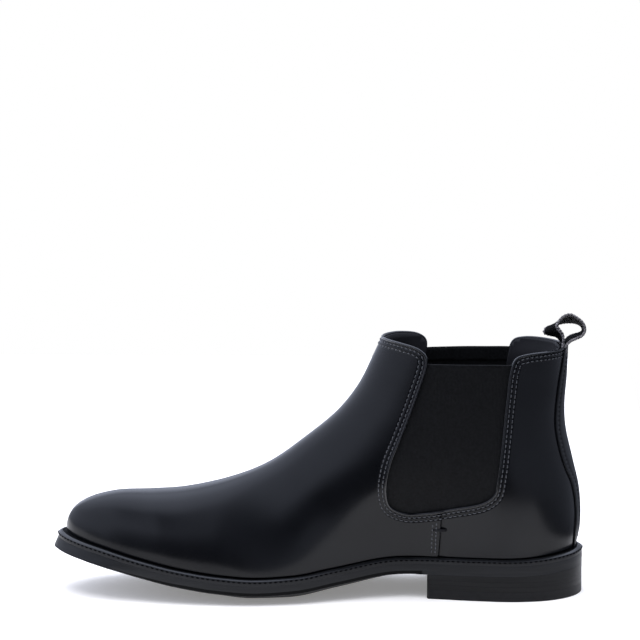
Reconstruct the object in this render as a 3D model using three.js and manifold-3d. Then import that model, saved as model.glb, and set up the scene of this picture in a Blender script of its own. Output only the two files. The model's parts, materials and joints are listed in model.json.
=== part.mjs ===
// A men's chelsea boot for the right foot: elastic side gussets, welted sole, stacked heel, webbing pull tab.
// Millimetres, +Z up, toe towards -X, medial side towards -Y. The origin is on the ground under the middle of
// the boot. The upper is one last-shaped surface, and each of its layers lies at its own depth under it.
import * as THREE from "three";
import { mergeVertices } from "three/addons/utils/BufferGeometryUtils.js";
import Module from "manifold-3d";

const wasm = await Module();
wasm.setup();

// ---- driving dimensions ----
const GAP = 0.3; // clearance between neighbouring pieces
const LEATHER = 1.4; // outer leather
const STIFFENER = 1.0; // toe puff, heel counter and elastic, between the leather and the lining
const LINING = 1.0;
const HEEL_GRIP = 0.8;
const BACK_STRIP = 1.0;
const SEAM_ALLOWANCE = 7; // how far the elastic runs under the leather edge
const GUSSET_TOP = 137.5;
const WELT_THICK = 3.5;
const WELT_WIDTH = 9.5;
const EDGE_THICK = 9.8; // welt and outsole together, at the edge
const TOE_FLARE = 2.6; // how far the outsole's toe stands out past the welt
const UPPER_INSET = [5, 3.2]; // from the welt's edge in to the upper, at the toe and at the heel
const INSOLE_INSET = 9.8;
const HEEL_BREAST = 63; // x of the heel's front face
const SEAT_MARGIN = 11; // the outsole is already flat this far ahead of the breast
const TOP_PIECE = 5.5;
const LIFTS = [8.6, 11.4]; // top of the third and second lift; the first one meets the outsole
const SOCK_THICK = 1.5;
const HEEL_PAD = { from: 76, to: 138, thick: 3 };
// the pull tab's bend line, the width of its webbing and its sewn length
const TAB = { x: 142.5, z: 146.8, width: 20, tail: 18 };
const SEAM_FRONT = 70.5; // x of the side seam under the gusset
const BAR_TACK = { x: 70, z: 40.5, length: 9, height: 1.5, thick: 0.7 };
const WELT_JOINT = 86; // x where the ends of the welt meet, on the medial side
const SHIFT = { x: -0.26, y: -3.39 }; // from the last's own line to the middle of the boot's box

// ---- lines of the last, as [x, z] ----
const FRONT_LINE = [
  [-146.4, 34.9], [-146.2, 40.5], [-142.8, 47.6], [-134.5, 53], [-118.3, 57], [-96, 57.7], [-78, 59],
  [-51.6, 65], [-29.3, 74.2], [-7.1, 90], [11.6, 106], [23.3, 121.3], [31.5, 138], [36.6, 149.2],
];
const BACK_LINE = [
  [149, 28], [151.1, 40], [150.4, 60.3], [146.3, 78.5], [142.1, 96.9], [141.3, 110], [142.5, 128],
  [143, 144.1],
];
const WELT_TOP_LINE = [
  [-151.3, 34.6], [-139, 32.3], [-126.5, 29.9], [-103.5, 24.4], [-80.5, 19.8], [-57.5, 16.7], [-34.5, 15.2],
  [-11.5, 16.1], [11.5, 19.3], [46, 23.8], [80, 24.3], [114, 24.6], [153.2, 27.1],
];
const TREAD_LINE = [
  [-153.9, 29.3], [-139, 20.5], [-124, 16], [-103, 11], [-80, 6], [-57, 2.3], [-38, 0], [-18, 0], [11.5, 4.8],
  [39.5, 10.6], [HEEL_BREAST, 14.3],
];
// the opening in the upper: topline, gusset edge and topline again, from the front to the back
const OPENING_LINE = [
  [36, 149.3], [47.2, 148.4], [57.3, 146.1], [61.6, 142.6], [62.2, 137.7], [56.3, 118.2], [48.5, 97.2],
  [41.3, 78.3], [39.5, 63], [42, 54.4], [51.1, 49.9], [64.5, 51], [77.9, 53.6], [95.5, 57.8], [101.4, 62.6],
  [103.4, 72], [105.8, 92.9], [108.4, 119.9], [110.4, 135], [113.2, 141.6], [119.2, 143.7], [150, 144],
];
const GUSSET_EDGE = [4, 18]; // first and last point of OPENING_LINE that lie on the gusset
const STRIP_EDGE = [
  [141, 146], [140.2, 137.8], [137.6, 121.5], [136.2, 101.5], [138.4, 88], [142, 76], [146.4, 64.8],
  [148.6, 50], [147.6, 26],
];
// ---- outline of the welt from above, as [x, y], toe, lateral side, heel, medial side ----
const OUTLINE = [
  [-151.3, -3], [-147.5, 8.5], [-138, 18.5], [-124, 27.5], [-103, 36.5], [-80, 43.5], [-45, 51], [-15, 52.5],
  [11, 46.5], [35, 39], [63, 34], [90, 33.5], [112, 32.5], [134, 26.5], [148, 14.5], [153.2, 0], [148, -16],
  [134, -27.5], [114, -32], [90, -30], [63, -25.5], [45, -25], [11, -34.5], [-11, -42], [-42, -46],
  [-80, -43], [-103, -38], [-124, -31.5], [-138, -23.5], [-147.5, -13.5],
];

// ---- small maths ----
const lerp = THREE.MathUtils.lerp;
const ease = (t) => THREE.MathUtils.smoothstep(t, 0, 1);
const dome = (t) => Math.sqrt(Math.max(0, 1 - (1 - Math.min(1, Math.max(0, t))) ** 2.1));

// A smooth function of x through points [x, value], with no overshoot between them.
function through(points) {
  const last = points.length - 1;
  const secant = (i) => (points[i + 1][1] - points[i][1]) / (points[i + 1][0] - points[i][0]);
  const slope = points.map((p, i) => {
    const before = secant(Math.max(0, i - 1));
    const after = secant(Math.min(last - 1, i));
    return before * after <= 0 ? 0 : (2 * before * after) / (before + after);
  });
  return (x) => {
    let i = 0;
    while (i < last - 1 && x > points[i + 1][0]) i += 1;
    const width = points[i + 1][0] - points[i][0];
    const t = Math.min(1, Math.max(0, (x - points[i][0]) / width));
    const start = points[i][1] * (1 + 2 * t) * (1 - t) ** 2 + points[i + 1][1] * t * t * (3 - 2 * t);
    return start + width * (slope[i] * t * (1 - t) ** 2 - slope[i + 1] * t * t * (1 - t));
  };
}

// Points at even steps along a smooth curve through points [a, b].
function sampled(points, count, closed = false) {
  const knots = points.map(([a, b]) => new THREE.Vector3(a, b, 0));
  const curve = new THREE.CatmullRomCurve3(knots, closed, "centripetal");
  curve.arcLengthDivisions = 1000;
  return curve.getSpacedPoints(count).map((p) => [p.x, p.y]);
}

// The same points moved sideways, to the left of the way they run, by a distance or by a function of x.
function movedLeft(points, distance) {
  const far = points.length - 1;
  return points.map(([a, b], i) => {
    const [a0, b0] = points[Math.max(0, i - 1)];
    const [a1, b1] = points[Math.min(far, i + 1)];
    const length = Math.hypot(a1 - a0, b1 - b0);
    const d = typeof distance === "function" ? distance(a) : distance;
    return [a - (d * (b1 - b0)) / length, b + (d * (a1 - a0)) / length];
  });
}

// A function of the first coordinate, straight between points that run in rising order.
function between(points) {
  return (x) => {
    let low = 0;
    let high = points.length - 1;
    while (high - low > 1) {
      const middle = (low + high) >> 1;
      if (points[middle][0] <= x) low = middle;
      else high = middle;
    }
    const t = Math.min(1, Math.max(0, (x - points[low][0]) / (points[high][0] - points[low][0])));
    return lerp(points[low][1], points[high][1], t);
  };
}

// ---- the plan of the sole, inset by a distance or by a function of x ----
const OUTLINE_POINTS = sampled(OUTLINE, 720, true).slice(0, 720);

function plan(inset) {
  const loop = [OUTLINE_POINTS.at(-1), ...OUTLINE_POINTS, ...OUTLINE_POINTS.slice(0, 2)];
  const moved = movedLeft(loop, (x) => -(typeof inset === "function" ? inset(x) : inset)).slice(1, -2);
  const toe = moved.reduce((best, p, i) => (p[0] < moved[best][0] ? i : best), 0);
  const turned = [...moved.slice(toe), ...moved.slice(0, toe)];
  const heel = turned.reduce((best, p, i) => (p[0] > turned[best][0] ? i : best), 0);
  const lateral = turned.slice(0, heel + 1);
  const medial = [turned[0], ...turned.slice(heel).reverse()];
  return { toe: turned[0][0], heel: turned[heel][0], medial: between(medial), lateral: between(lateral) };
}

// ---- the last: half width and centre line at each place in the side view ----
const weltTop = through(WELT_TOP_LINE);
const tread = through(TREAD_LINE);
const feather = (x) => weltTop(x) + GAP;
const upperPlan = plan((x) => lerp(...UPPER_INSET, ease((x + 100) / 200)));
const FRONT_POINTS = sampled(FRONT_LINE, 300);
const BACK_POINTS = sampled(BACK_LINE, 200);
const ridgeHeight = between(FRONT_POINTS);
const backAt = between(BACK_POINTS.map(([x, z]) => [z, x]));
const shaftHalfWidth = through([[20, 36], [60, 35], [100, 32.5], [136, 31.5], [150, 31.5]]);
const SHAFT_CENTRE = 1;
const HEEL_ROUND = 42; // length over which the back rounds off
const SHIN_ROUND = 55; // length over which the front of the shaft rounds off
const HEEL_STRAIGHT = 108; // x past which the heel is as wide as here, before rounding

function distanceToFront(x, z) {
  return Math.min(...FRONT_POINTS.map(([a, b]) => Math.hypot(a - x, b - z)));
}

function lastAt(x, z) {
  const station = Math.min(HEEL_STRAIGHT, Math.max(upperPlan.toe, x));
  const medial = upperPlan.medial(station);
  const lateral = upperPlan.lateral(station);
  const foot = (lateral - medial) / 2;
  const rise = z - feather(x);
  const shaft = lerp(Math.min(shaftHalfWidth(z), foot), shaftHalfWidth(z), ease((x + 60) / 60));
  const full = lerp(foot, shaft, ease(rise / 70));
  const top = ridgeHeight(x);
  const overToe = (top - z) / Math.max(1, top - feather(x));
  const overShaft = distanceToFront(x, z) / SHIN_ROUND;
  const along = ease((x + 60) / 40);
  const front = along >= 1 ? overShaft : lerp(overToe, overShaft, along);
  const half = full * dome(front) * dome((backAt(z) - x) / HEEL_ROUND);
  return { half, centre: lerp((medial + lateral) / 2, SHAFT_CENTRE, ease(rise / 60)) };
}

// ---- the upper's surface as loops, from the welt up to the topline ----
const SIDE_STEPS = 21;
const LEVELS = [0, 0.02, 0.045, 0.08, 0.13, 0.2, 0.3, 0.41, 0.53, 0.65, 0.77, 0.89, 1];
const LOOP = 2 * SIDE_STEPS;

function pointAt(points, t) {
  const place = t * (points.length - 1);
  const i = Math.min(points.length - 2, Math.floor(place));
  return [0, 1].map((k) => lerp(points[i][k], points[i + 1][k], place - i));
}

// The place in the side view at share u from front to back and share v from welt to topline.
function sidePlace(u, v) {
  const front = pointAt(FRONT_POINTS, v);
  const back = pointAt(BACK_POINTS, v);
  const [f0, f1] = [FRONT_POINTS[0], FRONT_POINTS.at(-1)];
  const [b0, b1] = [BACK_POINTS[0], BACK_POINTS.at(-1)];
  const x0 = lerp(f0[0], b0[0], u);
  const low = [x0, feather(x0)];
  return [0, 1].map((k) => {
    const blend = (1 - v) * low[k] + v * lerp(f1[k], b1[k], u) + lerp(front[k], back[k], u);
    return blend - (1 - v) * lerp(f0[k], b0[k], u) - v * lerp(f1[k], b1[k], u);
  });
}

function upperGrid() {
  const positions = [];
  for (const v of LEVELS) {
    for (let j = 0; j < LOOP; j += 1) {
      const step = j <= SIDE_STEPS ? j : LOOP - j;
      const [x, z] = sidePlace((1 - Math.cos((Math.PI * step) / SIDE_STEPS)) / 2, v);
      const { half, centre } = lastAt(x, z);
      const onRidge = step === 0 || step === SIDE_STEPS;
      const side = onRidge ? 0 : Math.sign(j - SIDE_STEPS);
      positions.push(x, centre + side * half, z);
    }
  }
  return positions;
}

function loopFaces(levels, offset, flip) {
  const faces = [];
  for (let i = 0; i < levels - 1; i += 1) {
    for (let j = 0; j < LOOP; j += 1) {
      const a = offset + i * LOOP + j;
      const b = offset + i * LOOP + ((j + 1) % LOOP);
      const quad = [a, b, b + LOOP, a, b + LOOP, a + LOOP];
      faces.push(...(flip ? quad.reverse() : quad));
    }
  }
  return faces;
}

const OUTER = new THREE.BufferGeometry();
OUTER.setAttribute("position", new THREE.Float32BufferAttribute(upperGrid(), 3));
OUTER.setIndex(loopFaces(LEVELS.length, 0, false));
OUTER.computeVertexNormals();

// The outer surface moved in by a depth. Its lowest loop stays on the welt and its highest on the topline.
function movedIn(depth) {
  const p = OUTER.attributes.position;
  const n = OUTER.attributes.normal;
  const moved = [];
  for (let i = 0; i < p.count; i += 1) {
    const point = new THREE.Vector3().fromBufferAttribute(p, i);
    const normal = new THREE.Vector3().fromBufferAttribute(n, i);
    point.addScaledVector(normal, -depth);
    if (i < LOOP) point.z = feather(point.x);
    moved.push(point.x, point.y, point.z);
  }
  return moved;
}

// ---- solids ----
function solid(geometry) {
  const bare = new THREE.BufferGeometry();
  const source = geometry.index ? geometry.toNonIndexed() : geometry;
  bare.setAttribute("position", source.getAttribute("position").clone());
  const merged = mergeVertices(bare, 1e-3);
  const index = Array.from(merged.index.array);
  const kept = [];
  for (let i = 0; i < index.length; i += 3) {
    const [a, b, c] = index.slice(i, i + 3);
    if (a !== b && b !== c && c !== a) kept.push(a, b, c);
  }
  const vertProperties = merged.attributes.position.array;
  return new wasm.Manifold(new wasm.Mesh({ numProp: 3, vertProperties, triVerts: new Uint32Array(kept) }));
}

function meshOf(name, manifold, material) {
  const { vertProperties, triVerts } = manifold.getMesh();
  const geometry = new THREE.BufferGeometry();
  geometry.setAttribute("position", new THREE.BufferAttribute(vertProperties, 3));
  geometry.setIndex(new THREE.BufferAttribute(triVerts, 1));
  geometry.computeVertexNormals();
  const mesh = new THREE.Mesh(geometry, material);
  mesh.name = name;
  return mesh;
}

// The part of the upper between two depths under the surface, all round.
function layer(from, to) {
  const count = OUTER.attributes.position.count;
  const geometry = new THREE.BufferGeometry();
  geometry.setAttribute("position", new THREE.Float32BufferAttribute([...movedIn(from), ...movedIn(to)], 3));
  const faces = [...loopFaces(LEVELS.length, 0, false), ...loopFaces(LEVELS.length, count, true)];
  const top = count - LOOP;
  for (let j = 0; j < LOOP; j += 1) {
    const k = (j + 1) % LOOP;
    faces.push(j, j + count, k + count, j, k + count, k);
    faces.push(top + j, top + k, top + k + count, top + j, top + k + count, top + j + count);
  }
  geometry.setIndex(faces);
  return solid(geometry);
}

// A prism across the boot from an outline [x, z] in the side view, between two values of y.
function across(outline, y0 = -90, y1 = 90) {
  const shape = new THREE.Shape(outline.map(([x, z]) => new THREE.Vector2(x, z)));
  const geometry = new THREE.ExtrudeGeometry(shape, { depth: y1 - y0, bevelEnabled: false });
  return solid(geometry.rotateX(Math.PI / 2).translate(0, y1, 0));
}

function block(x0, x1, y0, y1, z0, z1) {
  const box = new THREE.BoxGeometry(x1 - x0, y1 - y0, z1 - z0);
  return solid(box.translate((x0 + x1) / 2, (y0 + y1) / 2, (z0 + z1) / 2));
}

// Even steps drawn together at the ends of a plate that are rounded.
function spacing(even, roundToe, roundHeel) {
  if (roundToe && roundHeel) return (1 - Math.cos(Math.PI * even)) / 2;
  if (roundToe) return 1 - Math.cos((Math.PI * even) / 2);
  return roundHeel ? Math.sin((Math.PI * even) / 2) : even;
}

// A plate that fills a plan outline from x0 to x1, between two heights given as functions of x and of the
// share across (-1 medial edge, 1 lateral edge). Its lower face may have a plan of its own.
function plate({ top, bottom, above, below = above, x0 = -Infinity, x1 = Infinity, along = 26, over = 4 }) {
  const rows = [];
  for (const [outline, height] of [[above, top], [below, bottom]]) {
    const start = Math.max(x0, outline.toe);
    const end = Math.min(x1, outline.heel);
    for (let i = 0; i <= along; i += 1) {
      const even = i / along;
      const x = lerp(start, end, spacing(even, x0 === -Infinity, x1 === Infinity));
      const medial = outline.medial(x);
      const lateral = outline.lateral(x);
      for (let j = 0; j <= over; j += 1) {
        const y = lerp(medial, lateral, j / over);
        rows.push(x, y, height(x, (2 * j) / over - 1));
      }
    }
  }
  const width = over + 1;
  const count = (along + 1) * width;
  const faces = [];
  for (let i = 0; i < along; i += 1) {
    for (let j = 0; j < over; j += 1) {
      const a = i * width + j;
      faces.push(a, a + width, a + width + 1, a, a + width + 1, a + 1);
      const b = count + a;
      faces.push(b, b + width + 1, b + width, b, b + 1, b + width + 1);
    }
  }
  const wall = (a, b) => faces.push(a, a + count, b + count, a, b + count, b);
  for (let i = 0; i < along; i += 1) {
    wall(i * width, (i + 1) * width);
    wall((i + 1) * width + over, i * width + over);
  }
  for (let j = 0; j < over; j += 1) {
    wall(j + 1, j);
    wall(along * width + j, along * width + j + 1);
  }
  const geometry = new THREE.BufferGeometry();
  geometry.setAttribute("position", new THREE.Float32BufferAttribute(rows, 3));
  geometry.setIndex(faces);
  return solid(geometry);
}

function pin(radius, x, y, z0, z1) {
  const cylinder = new THREE.CylinderGeometry(radius, radius, z1 - z0, 12);
  return solid(cylinder.rotateX(Math.PI / 2).translate(x, y, (z0 + z1) / 2));
}

// ---- outlines cut from the layers ----
const EDGE_POINTS = sampled(OPENING_LINE, 60);
const openingPrism = across([[30, 175], [30, 149.4], ...EDGE_POINTS, [160, 144], [160, 175]]);
const SEAM_LINE = [[SEAM_FRONT - 1, 0], [SEAM_FRONT + 0.5, 54], [85, 60], [85, 175]];
const inFront = across([[-170, 0], ...SEAM_LINE, [-170, 175]]);
const behind = across([[170, 0], ...SEAM_LINE.map(([x, z]) => [x + GAP, z]), [170, 175]]);

function gussetPrism() {
  const edge = sampled(OPENING_LINE.slice(GUSSET_EDGE[0], GUSSET_EDGE[1] + 1), 26);
  const wide = movedLeft(edge, -SEAM_ALLOWANCE);
  const closed = [[wide[0][0], GUSSET_TOP + 20], ...wide, [wide.at(-1)[0], GUSSET_TOP + 20]];
  return across(closed).intersect(block(0, 170, -90, 90, 0, GUSSET_TOP));
}

// ---- finishes ----
const FINISHES = {
  leather: { color: 0x1b1c20, roughness: 0.3, metalness: 0 },
  elastic: { color: 0x141519, roughness: 0.9, metalness: 0 },
  lining: { color: 0x24262b, roughness: 0.75, metalness: 0 },
  webbing: { color: 0x28252a, roughness: 0.85, metalness: 0 },
  sole: { color: 0x232427, roughness: 0.5, metalness: 0 },
  rubber: { color: 0x1d1e20, roughness: 0.6, metalness: 0 },
  board: { color: 0x8a6a48, roughness: 0.9, metalness: 0 },
  cork: { color: 0xa97f52, roughness: 0.95, metalness: 0 },
  foam: { color: 0xc8c2b4, roughness: 0.9, metalness: 0 },
  stiffener: { color: 0xd6cfc0, roughness: 0.8, metalness: 0 },
  steel: { color: 0x9a9da1, roughness: 0.35, metalness: 1 },
};
const finish = (name) => new THREE.MeshStandardMaterial(FINISHES[name]);

// ---- the upper ----
function buildUpper() {
  const group = new THREE.Group();
  const add = (name, made, look) => group.add(meshOf(name, made, finish(look)));
  const MID = LEATHER + GAP;
  const INNER = MID + STIFFENER + GAP;
  const outer = layer(0, LEATHER).subtract(openingPrism);
  const quarters = outer.intersect(behind);
  const seam = SHAFT_CENTRE;
  add("vamp", outer.intersect(inFront), "leather");
  add("quarter_medial", quarters.intersect(block(0, 170, -90, seam - GAP / 2, 0, 175)), "leather");
  add("quarter_lateral", quarters.intersect(block(0, 170, seam + GAP / 2, 90, 0, 175)), "leather");

  const middle = layer(MID, MID + STIFFENER);
  const gussets = middle.intersect(gussetPrism());
  add("gusset_medial", gussets.intersect(block(0, 170, -90, 0, 0, 175)), "elastic");
  add("gusset_lateral", gussets.intersect(block(0, 170, 0, 90, 0, 175)), "elastic");
  const puff = across([[-170, 0], [-104, 0], [-98, 40], [-96, 70], [-170, 70]]);
  add("toe_puff", middle.intersect(puff), "stiffener");
  const counter = across([[170, 0], [86, 0], [98, 44], [114, 60], [122, 76], [130, 80], [170, 80]]);
  add("heel_counter", middle.intersect(counter), "stiffener");
  const tail = block(130, 170, seam - TAB.width / 2, seam + TAB.width / 2, 143.5 - TAB.tail, 143.5);
  add("pull_tab_tail", middle.intersect(tail), "webbing");

  const inner = layer(INNER, INNER + LINING).subtract(openingPrism);
  add("vamp_lining", inner.intersect(inFront), "lining");
  add("quarter_lining", inner.intersect(behind), "lining");
  const grip = across([[170, 0], [118, 0], [124, 60], [130, 92], [170, 96]]).intersect(
    block(0, 170, -90, 90, 34, 175),
  );
  const gripDepth = INNER + LINING + GAP;
  add("heel_grip", layer(gripDepth, gripDepth + HEEL_GRIP).intersect(grip), "lining");

  const proud = layer(-GAP - BACK_STRIP, -GAP);
  const strip = across([...sampled(STRIP_EDGE, 24), [170, 26], [170, 146]]);
  const underTopline = block(0, 170, -90, 90, 0, 144);
  add("back_strip", proud.intersect(strip).intersect(underTopline), "leather");

  const tack = layer(-GAP - BAR_TACK.thick, -GAP);
  for (const [side, y0, y1] of [["medial", -90, 0], ["lateral", 0, 90]]) {
    const reach = [BAR_TACK.x - BAR_TACK.length / 2, BAR_TACK.x + BAR_TACK.length / 2];
    const height = [BAR_TACK.z - BAR_TACK.height / 2, BAR_TACK.z + BAR_TACK.height / 2];
    add(`bar_tack_${side}`, tack.intersect(block(...reach, y0, y1, ...height)), "webbing");
  }
  return group;
}

// ---- the pull tab: a loop of webbing that bends where it leaves the topline ----
const TAB_LOOP = [
  [0, -2.2], [2.3, 0.4], [5, 3], [9.2, 4], [11.9, 7.3], [9.6, 13.4], [3.5, 16], [-4, 14], [-8.3, 8.8],
  [-6.6, 4.6], [-3, 2.2], [-2.2, 0],
];
const TAB_HOLE = [
  [0.4, 4.2], [5, 5.4], [9.2, 7.6], [7.4, 11.9], [3, 13.6], [-2.8, 12], [-5.8, 8.7], [-3.6, 5.6],
];

function buildPullTab() {
  const shape = new THREE.Shape(sampled(TAB_LOOP, 40, true).map(([x, z]) => new THREE.Vector2(x, z)));
  shape.holes.push(new THREE.Path(sampled(TAB_HOLE, 28, true).map(([x, z]) => new THREE.Vector2(x, z))));
  const geometry = new THREE.ExtrudeGeometry(shape, { depth: TAB.width, bevelEnabled: false });
  geometry.rotateX(Math.PI / 2).translate(0, TAB.width / 2, 0);
  const tab = meshOf("pull_tab", solid(geometry), finish("webbing"));
  tab.position.set(TAB.x, SHAFT_CENTRE, TAB.z);
  return tab;
}

// ---- the sole and heel ----
const FASTENERS = [
  { name: "heel_screw", x: 112, y: 0.5, radius: 2.5, foot: 4, look: "steel" },
  { name: "heel_nail_1", x: 84, y: -16, radius: 1, foot: 6.6, look: "steel" },
  { name: "heel_nail_2", x: 84, y: 20, radius: 1, foot: 6.6, look: "steel" },
  { name: "heel_nail_3", x: 132, y: -14, radius: 1, foot: 6.6, look: "steel" },
  { name: "heel_nail_4", x: 132, y: 14, radius: 1, foot: 6.6, look: "steel" },
];
const RIVETS = [
  { name: "shank_rivet_front", x: 14, y: 5 },
  { name: "shank_rivet_rear", x: 92, y: 1.5 },
];
const SHANK = { from: 4, to: 102, half: 7, thick: 1.5, rivet: 2 };

function shankMiddle(x) {
  const [front, rear] = RIVETS;
  return lerp(front.y, rear.y, (x - front.x) / (rear.x - front.x));
}

function buildSole() {
  const group = new THREE.Group();
  const whole = plan(0);
  const flared = plan((x) => -TOE_FLARE * ease((-95 - x) / 50));
  const inside = plan(INSOLE_INSET);
  const boardTop = (x) => weltTop(x) + 1;
  const boardBottom = (x) => weltTop(x) - 1.2;
  const outsoleTop = (x) => weltTop(x) - WELT_THICK - GAP;
  const edgeBottom = (x) => weltTop(x) - EDGE_THICK;
  const outsoleBottom = (x, share) => {
    if (x >= HEEL_BREAST - SEAT_MARGIN) return edgeBottom(x);
    const crown = 1 - Math.max(0, (Math.abs(share) - 0.5) / 0.5) ** 2;
    const low = Math.min(tread(x), edgeBottom(x));
    return lerp(edgeBottom(x), low, crown);
  };
  const holes = FASTENERS.map(({ x, y, radius, foot }) => pin(radius + GAP, x, y, foot - GAP, 60));
  const rivetHoles = RIVETS.map(({ x, y }) => pin(SHANK.rivet + GAP, x, y, 10, 60));
  const add = (name, made, look, cuts = []) => {
    const cut = cuts.reduce((body, hole) => body.subtract(hole), made);
    group.add(meshOf(name, cut, finish(look)));
  };

  const weltBottom = (x) => weltTop(x) - WELT_THICK;
  const rim = plate({ top: weltTop, bottom: weltBottom, above: whole, over: 2, along: 28 });
  const core = plate({
    top: (x) => weltTop(x) + 5, bottom: (x) => weltBottom(x) - 5, above: plan(WELT_WIDTH), over: 2,
  });
  const joint = block(WELT_JOINT - GAP / 2, WELT_JOINT + GAP / 2, -60, 0, 0, 60);
  add("welt", rim.subtract(core).subtract(joint), "sole");

  const outsole = plate({ top: outsoleTop, bottom: outsoleBottom, above: whole, below: flared, over: 8 });
  add("outsole", outsole, "sole", holes);
  add("insole_board", plate({ top: boardTop, bottom: boardBottom, above: inside, over: 2 }), "board", [
    ...holes, ...rivetHoles,
  ]);
  const cork = { top: (x) => boardBottom(x) - GAP, bottom: weltBottom, above: inside };
  add("bottom_filler", plate({ ...cork, x1: -2, along: 16, over: 2 }), "cork");

  const strap = {
    toe: -200,
    heel: 200,
    medial: (x) => shankMiddle(x) - SHANK.half,
    lateral: (x) => shankMiddle(x) + SHANK.half,
  };
  const shank = plate({
    top: (x) => boardBottom(x) - GAP, bottom: (x) => boardBottom(x) - GAP - SHANK.thick, above: strap,
    x0: SHANK.from, x1: SHANK.to, along: 10, over: 2,
  });
  add("shank", shank, "steel", rivetHoles);
  for (const { name, x, y } of RIVETS) {
    const foot = boardBottom(x) - GAP - SHANK.thick - 0.2;
    group.add(meshOf(name, pin(SHANK.rivet, x, y, foot, boardTop(x)), finish("steel")));
  }

  const sockInset = plan(INSOLE_INSET + 0.3);
  const sockBottom = (x) => boardTop(x) + GAP + (HEEL_PAD.thick + GAP) * ease((x - HEEL_PAD.from + 22) / 20);
  const sockTop = (x) => sockBottom(x) + SOCK_THICK;
  add("sock_lining", plate({ top: sockTop, bottom: sockBottom, above: sockInset, over: 2 }), "lining");
  const padPlan = plan(INSOLE_INSET + 5);
  const pad = plate({
    top: (x) => boardTop(x) + HEEL_PAD.thick, bottom: (x) => boardTop(x) + GAP, above: padPlan,
    x0: HEEL_PAD.from, x1: HEEL_PAD.to, along: 10,
  });
  add("heel_pad", pad, "foam");

  const levels = [0, TOP_PIECE, ...LIFTS];
  const names = ["heel_top_piece", "heel_lift_3", "heel_lift_2", "heel_lift_1"];
  names.forEach((name, i) => {
    const bottom = () => levels[i] + (i ? GAP : 0);
    const top = i < names.length - 1 ? () => levels[i + 1] : (x) => edgeBottom(x) - 1.5 * GAP;
    const lift = plate({ top, bottom, above: whole, x0: HEEL_BREAST, along: 14, over: 2 });
    add(name, lift, i ? "sole" : "rubber", holes);
  });

  for (const { name, x, y, radius, foot, look } of FASTENERS) {
    group.add(meshOf(name, pin(radius, x, y, foot, boardTop(x)), finish(look)));
  }
  return group;
}

const boot = new THREE.Group();
boot.add(buildUpper(), buildPullTab(), buildSole());
boot.position.set(SHIFT.x, SHIFT.y, 0);

export default boot;
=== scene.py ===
"""A men's chelsea boot: the visual model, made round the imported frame.

The maths is in millimetres in the last's own frame, and Blender's objects are in metres in the boot's frame.
"""

import json
import math

import bmesh
import bpy
import numpy as np
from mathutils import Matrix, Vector
from mathutils.bvhtree import BVHTree

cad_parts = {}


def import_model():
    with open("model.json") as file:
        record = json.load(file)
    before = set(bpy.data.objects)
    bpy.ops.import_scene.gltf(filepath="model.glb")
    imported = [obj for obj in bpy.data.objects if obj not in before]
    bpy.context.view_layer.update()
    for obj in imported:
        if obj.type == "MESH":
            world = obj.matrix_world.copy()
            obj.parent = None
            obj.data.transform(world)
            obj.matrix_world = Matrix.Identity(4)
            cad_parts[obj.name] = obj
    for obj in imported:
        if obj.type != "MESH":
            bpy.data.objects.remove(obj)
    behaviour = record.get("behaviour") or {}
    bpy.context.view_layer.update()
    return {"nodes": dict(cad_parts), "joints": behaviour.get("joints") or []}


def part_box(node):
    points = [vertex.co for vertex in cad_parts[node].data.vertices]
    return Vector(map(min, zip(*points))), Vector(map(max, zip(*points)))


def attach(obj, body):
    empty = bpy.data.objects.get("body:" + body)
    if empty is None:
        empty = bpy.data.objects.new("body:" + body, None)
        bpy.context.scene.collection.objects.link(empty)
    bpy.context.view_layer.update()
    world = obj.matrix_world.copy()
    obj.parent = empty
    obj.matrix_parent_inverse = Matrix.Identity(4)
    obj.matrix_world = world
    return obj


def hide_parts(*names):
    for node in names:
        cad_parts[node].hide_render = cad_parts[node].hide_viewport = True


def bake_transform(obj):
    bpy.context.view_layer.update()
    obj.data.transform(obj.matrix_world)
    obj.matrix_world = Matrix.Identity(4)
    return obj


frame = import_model()

MM = 0.001
GAP = 0.3
ELASTIC_DEPTH = 1.25  # from the leather's face down to the elastic's face
LINING_DEPTH = 3.0
SKIN_THICK = 1.3
STRIP_THICK = 0.9
ELASTIC_THICK = 1.1
HEM_THICK = 1.2
LINING_THICK = 1.0
GRIP_THICK = 0.8
WELT_THICK = 3.5
EDGE_THICK = 9.8
TOE_FLARE = 2.6
UPPER_INSET = (5.0, 3.2)
HEEL_BREAST = 63.0
SEAT_MARGIN = 11.0
TOP_PIECE = 5.5
LIFTS = (8.6, 11.4)
GUSSET_TOP = 137.5
HEM = 7.5
SEAM_X = 70.5
SEAM_OVERLAP = 11.0
SEAM_HEIGHT = 62.0  # the side seam ends below this height
LAP_LIFT = 0.7  # how far the vamp stands out where it laps over the quarters
LAP_START = 13.0
LAP_TUCK = 0.9  # how far the quarters go in under it
WELT_JOINT = 86.0
SHAFT_Y = 1.0
HEEL_ROUND = 42.0
SHIN_ROUND = 55.0
HEEL_STRAIGHT = 108.0
UPRIGHT = 0.13  # share of the vamp's height, at its foot, where its wall stands straight up

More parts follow.
